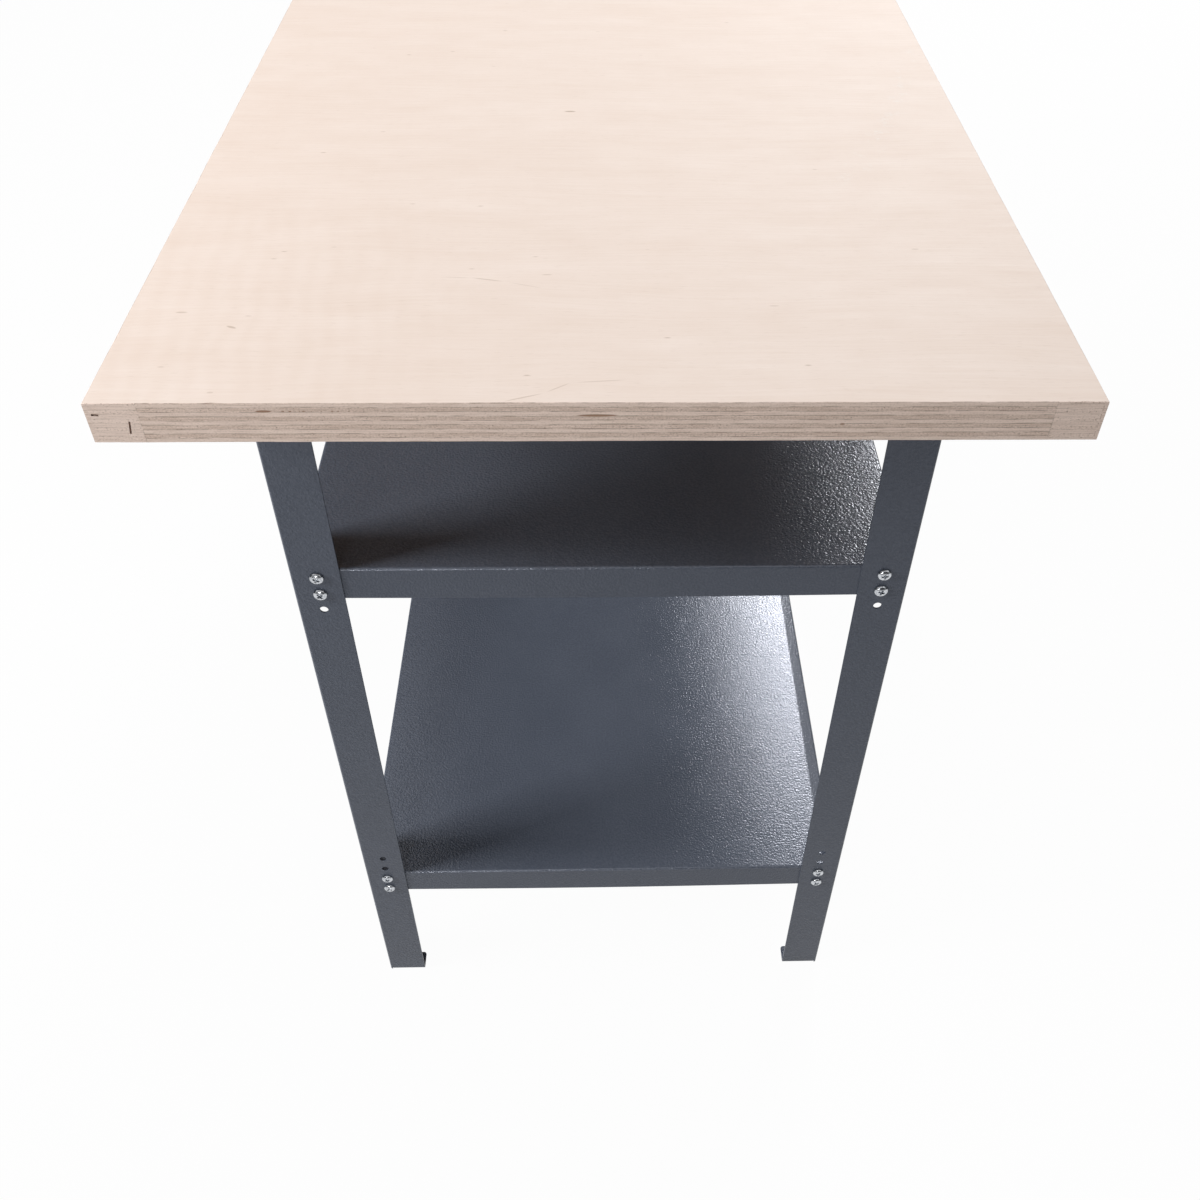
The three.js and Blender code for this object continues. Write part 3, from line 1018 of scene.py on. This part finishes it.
@dataclass
class Shelf:
    """A sheet steel tray with its lips turned down."""

    level: Level
    rolled: tuple[Side, ...] = ()
    sheet: float = 1.0
    bend: float = 2.5
    corner_relief: float = 4.0
    hole: float = 7.0
    rolled_width: float = 13.0
    rolled_ease: float = 3.0
    rolled_slope: float = 0.36
    lip_bow: float = 1.4
    sag: float = 1.2
    painted_edge: float = 0.25
    grid: int = 24
    lip_tilt: float = 0.25

    @property
    def node(self) -> str:
        """The shelf's CAD node."""
        return f"{self.level.value}_shelf"

    def build(self, level_paint: bpy.types.Material, upright_paint: bpy.types.Material) -> None:
        """Builds and dresses the shelf.

        Args:
            level_paint: The finish of its flat, lighter than the lips' finish as painted light.
            upright_paint: The finish of its lips.
        """
        low, high = (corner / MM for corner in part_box(self.node))
        half_width, half_length, lip = high.x, high.y, high.z - low.z
        bend, curve = self.bend, self.bend * QUARTER_TURN
        flat_x, flat_y = half_width - bend, half_length - bend
        reach = curve + lip - bend
        out_x, out_y = flat_x + reach, flat_y + reach
        cut_x, cut_y = half_width - self.corner_relief, half_length - self.corner_relief
        outline = [
            (-cut_x, -out_y), (cut_x, -out_y), (cut_x, -cut_y), (out_x, -cut_y),
            (out_x, cut_y), (cut_x, cut_y), (cut_x, out_y), (-cut_x, out_y),
            (-cut_x, cut_y), (-out_x, cut_y), (-out_x, -cut_y), (-cut_x, -cut_y),
        ]
        holes = []
        for row in (1, 2):
            for end in End:
                for side in Side:
                    node = f"shelf_screw_{self.level.value}_{end.word}_{side.word}_{row}"
                    first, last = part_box(node)
                    spot = (first + last) / 2 / MM
                    down = flat_y + curve + (high.z - spot.z) - bend
                    holes.append(((spot.x, end.value * down), self.hole / 2))
        across = [flat_x * (2 * i / self.grid - 1) for i in range(1, self.grid)]
        along = [flat_y * (2 * i / (2 * self.grid) - 1) for i in range(1, 2 * self.grid)]
        for sign in (-1.0, 1.0):
            across += bend_steps(sign * flat_x, sign * bend, 8)
            across += [sign * (flat_x - self.rolled_width + self.rolled_ease * i / 4) for i in range(5)]
            along += bend_steps(sign * flat_y, sign * bend, 8)
            along += [sign * (out_y - (lip - bend) * i / 3) for i in range(1, 3)]
            across += [sign * (out_x - (lip - bend) * i / 3) for i in range(1, 3)]
        blank = Blank(outline, holes, sorted(across), sorted(along))

        def lipped(distance: float, flat: float) -> tuple[float, float]:
            """How far out and how far down a point is, by its distance from the middle of the sheet."""
            past = abs(distance) - flat
            if past <= 0:
                return distance, 0.0
            angle = min(past / bend, QUARTER_TURN)
            out = flat + bend * math.sin(angle)
            down = bend * (1 - math.cos(angle)) + max(0.0, past - curve)
            return math.copysign(out, distance), down

        def roll(past: float) -> float:
            """How far the rolled strip along a side lies below the flat, by the distance past its start."""
            eased = min(max(past, 0.0), self.rolled_ease)
            return self.rolled_slope * (eased * eased / (2 * self.rolled_ease) + max(0.0, past - self.rolled_ease))

        def fold(u: float, v: float) -> Vector:
            """Folds the lips down and lets the sheet give a little, as thin sheet does."""
            x, side_down = lipped(u, flat_x)
            y, end_down = lipped(v, flat_y)
            inside_x, inside_y = 1 - (x / half_width) ** 2, 1 - (y / half_length) ** 2
            flat_share = 1 - min(1.0, (side_down + end_down) / bend)
            rolled = sum(roll(side.value * x - flat_x + self.rolled_width) for side in self.rolled)
            z = high.z - side_down * (1 - rolled / lip) - end_down * (1 - rolled / lip) - rolled
            z -= self.sag * max(0.0, inside_x) * max(0.0, inside_y) * flat_share
            bow = self.lip_bow * max(0.0, inside_x) ** 1.5 * min(1.0, end_down / lip)
            return Vector((x, y + math.copysign(bow, y), z))

        mesh = smooth(blank.folded(self.node, fold))
        # Faces that lie level take the lighter paint, which carries painted light; the lips take the darker
        # upright paint.
        for face in mesh.polygons:
            face.material_index = int(abs(face.normal.z) < self.lip_tilt)
        piece = put(f"{self.node}_tray", mesh, self.node, [level_paint, upright_paint])
        thicken(piece, self.sheet, self.painted_edge)


def turned(name: str, profile: Sequence[Point2], sides: int) -> bpy.types.Mesh:
    """A piece turned about the Z axis.

    Args:
        name: The mesh's name.
        profile: Radius and height of its outline in millimetres, on the axis at both ends.
        sides: How many sides the round has.

    Returns:
        The closed mesh.
    """
    work = bmesh.new()
    rings = []
    for radius, height in profile:
        if radius == 0:
            rings.append([work.verts.new((0.0, 0.0, height * MM))])
            continue
        ring = arc((0.0, 0.0), radius * MM, 0.0, 2 * math.pi, sides)[:-1]
        rings.append([work.verts.new((x, y, height * MM)) for x, y in ring])
    for upper, lower in zip(rings, rings[1:]):
        for i in range(sides):
            j = (i + 1) % sides
            corners = [lower[i % len(lower)], lower[j % len(lower)], upper[j % len(upper)], upper[i % len(upper)]]
            work.faces.new(list(dict.fromkeys(corners)))
    mesh = bpy.data.meshes.new(name)
    work.to_mesh(mesh)
    work.free()
    return mesh


def facing(seat: Vector, outward: Vector, turn: float) -> Matrix:
    """The place of a turned piece.

    Args:
        seat: Where its zero height goes, in metres.
        outward: Where its Z axis points.
        turn: How far it is turned about that axis.

    Returns:
        The placing matrix.
    """
    swing = outward.to_track_quat("Z", "Y").to_matrix().to_4x4()
    return Matrix.Translation(seat) @ swing @ Matrix.Rotation(turn, 4, "Z")


@dataclass
class PanScrew:
    """A pan head screw with a cross recess and a threaded shank, in millimetres."""

    name: str
    head_diameter: float
    head_height: float
    rim: float
    diameter: float
    length: float
    pitch: float
    tip: float
    thread_depth: float = 0.42
    recess_span: float = 6.4
    recess_slot: float = 1.8
    recess_depth: float = 2.5
    recess_taper: float = 0.55
    sides: int = 40

    def profile(self) -> list[Point2]:
        """The half outline, from the crown to the end of the shank."""
        points: list[Point2] = []
        dome = self.head_height - self.rim
        for i in range(9):
            angle = QUARTER_TURN * i / 8
            points.append((self.head_diameter / 2 * math.sin(angle), self.rim + dome * math.cos(angle)))
        points += [(self.head_diameter / 2, 0.25), (self.head_diameter / 2 - 0.25, 0.0)]
        radius = self.diameter / 2
        points.append((radius, 0.0))
        turns = int((self.length - self.tip) / self.pitch)
        for i in range(turns):
            points.append((radius - self.thread_depth, -(i + 0.5) * self.pitch))
            points.append((radius, -(i + 1) * self.pitch))
        end = radius - self.tip if self.tip < radius else 0.0
        points.append((end, -self.length))
        if end:
            points.append((0.0, -self.length))
        return points

    def recess(self) -> list[bpy.types.Mesh]:
        """The two crossing wings of the recess, as cutting shapes."""
        made = []
        for quarter in (0.0, QUARTER_TURN):
            work = bmesh.new()
            bmesh.ops.create_cube(work, size=1.0)
            for vert in work.verts:
                deep = vert.co.z < 0
                narrow = self.recess_taper if deep else 1.0
                vert.co.x *= self.recess_span * narrow * MM
                vert.co.y *= self.recess_slot * (0.8 if deep else 1.0) * MM
                vert.co.z = (self.head_height - self.recess_depth if deep else self.head_height + 0.4) * MM
            bmesh.ops.transform(work, matrix=Matrix.Rotation(quarter, 4, "Z"), verts=work.verts)
            mesh = bpy.data.meshes.new("recess_wing")
            work.to_mesh(mesh)
            work.free()
            made.append(mesh)
        return made

    def mesh(self) -> bpy.types.Mesh:
        """Builds the screw with its head up and its seat at zero."""
        made = smooth(cut(turned(self.name, self.profile(), self.sides), self.recess()), 42.0)
        made.name = self.name
        return made


@dataclass
class HexNut:
    """A hexagon nut with chamfered corners, in millimetres."""

    across_flats: float = 10.0
    thickness: float = 5.0
    bore: float = 6.6
    chamfer_slope: float = 0.58
    sides: int = 72

    def mesh(self) -> bpy.types.Mesh:
        """Builds the nut with its axis up and its seat at zero."""
        work = bmesh.new()
        flat = self.across_flats / 2
        columns = []
        for i in range(self.sides):
            angle = 2 * math.pi * i / self.sides
            sixth = (angle + math.pi / 6) % (math.pi / 3) - math.pi / 6
            reach = flat / math.cos(sixth)
            drop = (reach - flat * 0.97) * self.chamfer_slope
            bore = self.bore / 2
            outline = [
                (bore, 0.4), (bore + 0.5, 0.0), (flat * 0.97, 0.0), (reach, drop),
                (reach, self.thickness - drop), (flat * 0.97, self.thickness),
                (bore + 0.5, self.thickness), (bore, self.thickness - 0.4),
            ]
            columns.append([
                work.verts.new((r * math.cos(angle) * MM, r * math.sin(angle) * MM, h * MM))
                for r, h in outline
            ])
        for one, other in zip(columns, columns[1:] + columns[:1]):
            for i in range(len(one)):
                j = (i + 1) % len(one)
                work.faces.new((one[i], other[i], other[j], one[j]))
        bmesh.ops.recalc_face_normals(work, faces=work.faces)
        mesh = bpy.data.meshes.new("shelf_nut")
        work.to_mesh(mesh)
        work.free()
        return smooth(mesh, 25.0)


@dataclass
class Fasteners:
    """All screws and nuts of the table."""

    zinc: bpy.types.Material
    leg_sheet: float = 1.5

    def shelf_screws(self) -> None:
        """The screws and nuts that hold the shelves."""
        shape = PanScrew("shelf_screw", 11.5, 3.6, 1.1, 6.0, 12.0, 1.0, 0.7).mesh()
        nut = HexNut().mesh()
        number = 0
        for level in Level:
            for end in End:
                for side in Side:
                    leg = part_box(f"leg_{end.word}_{side.word}")
                    outward = Vector((0.0, end.value, 0.0))
                    for row in (1, 2):
                        number += 1
                        tail = f"{level.value}_{end.word}_{side.word}_{row}"
                        low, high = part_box(f"shelf_screw_{tail}")
                        seat = (low + high) / 2
                        seat.y = leg[0].y if end is End.FRONT else leg[1].y
                        place = facing(seat, outward, number * 1.1)
                        put(f"screw_{tail}", shape, f"shelf_screw_{tail}", [self.zinc], place)
                        low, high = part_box(f"shelf_nut_{tail}")
                        seat = (low + high) / 2
                        seat.y = low.y if end is End.FRONT else high.y
                        place = facing(seat, -outward, math.pi / 6)
                        put(f"nut_{tail}", nut, f"shelf_nut_{tail}", [self.zinc], place)

    def top_screws(self) -> None:
        """The wood screws that hold the worktop."""
        shape = PanScrew("top_screw", 9.0, 3.0, 0.9, 4.5, 18.0, 1.8, 4.0).mesh()
        number = 0
        for end in End:
            for side in Side:
                for row in (1, 2):
                    number += 1
                    tail = f"{end.word}_{side.word}_{row}"
                    low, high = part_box(f"top_screw_{tail}")
                    seat = (low + high) / 2
                    seat.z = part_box(f"leg_{end.word}_{side.word}")[1].z - self.leg_sheet * MM
                    place = facing(seat, Vector((0.0, 0.0, -1.0)), number * 0.7)
                    put(f"wood_screw_{tail}", shape, f"top_screw_{tail}", [self.zinc], place)


@dataclass(frozen=True)
class PhotoCamera:
    """The photograph's viewpoint, in metres, degrees and pixels of its square frame."""

    place: tuple[float, float, float] = (-0.0024, -1.3749, 1.2882)
    tilt_down: float = 44.55
    turn_right: float = 2.496
    roll: float = 1.341
    focal_pixels: float = 1190.7
    centre_pixels: Point2 = (636.8, 602.7)
    frame_pixels: float = 1200.0
    sensor: float = 36.0

    def build(self) -> None:
        """Makes the camera and sets it as the scene's own."""
        tilt, turn, roll = (math.radians(a) for a in (self.tilt_down, self.turn_right, self.roll))
        level = math.cos(tilt)
        ahead = Vector((math.sin(turn) * level, math.cos(turn) * level, -math.sin(tilt)))
        right = Vector((math.cos(turn), -math.sin(turn), 0.0))
        up = right.cross(ahead)
        right, up = (
            right * math.cos(roll) + up * math.sin(roll),
            up * math.cos(roll) - right * math.sin(roll),
        )
        data = bpy.data.cameras.new("photo_camera")
        data.sensor_width = self.sensor
        data.lens = self.focal_pixels * self.sensor / self.frame_pixels
        data.shift_x = 0.5 - self.centre_pixels[0] / self.frame_pixels
        data.shift_y = self.centre_pixels[1] / self.frame_pixels - 0.5
        data.clip_start, data.clip_end = 0.01, 100.0
        camera = bpy.data.objects.new("photo_camera", data)
        bpy.context.scene.collection.objects.link(camera)
        turned_to = Matrix((right, up, -ahead)).transposed().to_4x4()
        camera.matrix_world = Matrix.Translation(self.place) @ turned_to
        bpy.context.scene.camera = camera


@dataclass(frozen=True)
class SoftBox:
    """A soft studio lamp, in metres and watts."""

    name: str
    place: tuple[float, float, float]
    target: tuple[float, float, float]
    size: Point2
    power: float
    in_gloss: bool = True

    def build(self) -> None:
        """Makes the lamp."""
        data = bpy.data.lights.new(self.name, "AREA")
        data.shape = "RECTANGLE"
        data.size, data.size_y = self.size
        data.energy = self.power
        lamp = bpy.data.objects.new(self.name, data)
        bpy.context.scene.collection.objects.link(lamp)
        aim = Vector(self.target) - Vector(self.place)
        lamp.location = self.place
        lamp.rotation_euler = aim.to_track_quat("-Z", "Y").to_euler()
        lamp.visible_glossy = self.in_gloss
        LOG.info("lamp %s", self.name)


@dataclass(frozen=True)
class Curtain:
    """A dark studio curtain that only gloss and bright metal show, in metres."""

    name: str
    start: Point2
    end: Point2
    height: float
    colour: Colour = (0.05, 0.05, 0.055)

    def build(self) -> None:
        """Hangs the curtain from its height down to the floor."""
        material = surface(self.name, lambda tree: {"Base Color": self.colour, "Roughness": 1.0})
        mesh = bpy.data.meshes.new(self.name)
        corners = [(*self.start, 0.0), (*self.end, 0.0), (*self.end, self.height), (*self.start, self.height)]
        mesh.from_pydata(corners, [], [(0, 1, 2, 3)])
        mesh.materials.append(material)
        made = bpy.data.objects.new(self.name, mesh)
        bpy.context.scene.collection.objects.link(made)
        made.visible_camera = made.visible_diffuse = made.visible_shadow = False


@dataclass(frozen=True)
class Studio:
    """The white studio round the table."""

    floor_half: float = 30.0
    floor_colour: Colour = (0.55, 0.55, 0.55)
    floor_lift: float = 0.97
    ambient: float = 0.12
    lamps: tuple[SoftBox, ...] = (
        SoftBox("back_right_box", (1.2, 4.3, 4.3), (0.2, 0.0, 0.3), (0.9, 2.3), 224.0),
        SoftBox("right_strip_box", (2.5, 4.4, 3.2), (0.2, 0.0, 0.5), (0.9, 1.0), 100.0),
        SoftBox("left_box", (-2.5, -1.1, 1.85), (0.0, -0.4, 0.4), (1.1, 1.3), 90.0, in_gloss=False),
        SoftBox("front_low_box", (-0.45, -2.2, 0.84), (-0.1, -0.7, 0.45), (0.3, 0.14), 5.4),
    )
    curtains: tuple[Curtain, ...] = (
        Curtain("front_curtain", (-2.6, -2.9), (2.6, -2.9), 2.6),
        Curtain("left_side_curtain", (-3.2, -2.9), (-3.0, 0.3), 2.4),
        Curtain("right_side_curtain", (3.4, 0.2), (3.2, -2.9), 2.4),
        Curtain("right_curtain", (1.2, 3.2), (3.4, 0.2), 1.3),
        Curtain("left_curtain", (-3.0, 0.3), (-0.5, 3.4), 3.4),
    )

    def seen(self, tree: ShaderTree) -> Wire:
        """One for rays that see the background straight, in gloss or through glass."""
        paths = tree.node("ShaderNodeLightPath").outputs
        rays = [Wire(tree, paths[name]) for name in ("Is Camera Ray", "Is Glossy Ray", "Is Transmission Ray")]
        return rays[0].larger(rays[1]).larger(rays[2])

    def world(self) -> None:
        """The white surroundings, which light the table at a lower level."""
        world = bpy.data.worlds.new("white_studio")
        world.use_nodes = True
        tree = ShaderTree(world.node_tree)
        lighting = tree.node("ShaderNodeBackground", None, {"Color": (1.0, 1.0, 1.0), "Strength": self.ambient})
        backdrop = tree.node("ShaderNodeBackground", None, {"Color": (1.0, 1.0, 1.0), "Strength": 1.0})
        sockets = {0: self.seen(tree), 1: lighting.outputs[0], 2: backdrop.outputs[0]}
        both = tree.node("ShaderNodeMixShader", None, sockets)
        tree.node("ShaderNodeOutputWorld", None, {"Surface": both.outputs[0]})
        bpy.context.scene.world = world

    def floor(self) -> None:
        """A plain white floor that keeps the table's shadow."""
        material = bpy.data.materials.new("white_floor")
        material.use_nodes = True
        tree = ShaderTree(material.node_tree)
        plain = tree.node("ShaderNodeBsdfDiffuse", None, {"Color": self.floor_colour})
        white = tree.node("ShaderNodeEmission", None, {"Color": (1.0, 1.0, 1.0), "Strength": 1.0})
        sockets = {0: self.seen(tree) * self.floor_lift, 1: plain.outputs[0], 2: white.outputs[0]}
        both = tree.node("ShaderNodeMixShader", None, sockets)
        tree.node("ShaderNodeOutputMaterial", None, {"Surface": both.outputs[0]})
        half = self.floor_half
        mesh = bpy.data.meshes.new("studio_floor")
        corners = [(-half, -half, 0.0), (half, -half, 0.0), (half, half, 0.0), (-half, half, 0.0)]
        mesh.from_pydata(corners, [], [(0, 1, 2, 3)])
        mesh.materials.append(material)
        floor = bpy.data.objects.new("studio_floor", mesh)
        bpy.context.scene.collection.objects.link(floor)

    def build(self) -> None:
        """Makes the floor, the surroundings and the lamps."""
        self.world()
        self.floor()
        for curtain in self.curtains:
            curtain.build()
        for lamp in self.lamps:
            lamp.build()
        bpy.context.scene.view_settings.view_transform = "Standard"


def main() -> None:
    """Builds the table, the camera and the studio in order."""
    logging.basicConfig(level=logging.INFO, format="%(message)s")
    PhotoCamera().build()
    Studio().build()
    paint = HammeredPaint().material()
    Worktop().build(VeneerFinish(), BackVeneerFinish())
    level_paint = LevelPaint().material()
    Shelf(Level.UPPER).build(level_paint, paint)
    Shelf(Level.LOWER, rolled=(Side.RIGHT,)).build(level_paint, paint)
    for end in End:
        for side in Side:
            Leg(end, side).build(paint)
    fasteners = Fasteners(ZincPlating().material())
    fasteners.shelf_screws()
    fasteners.top_screws()
    bpy.context.view_layer.update()


if __name__ == "__main__":
    main()
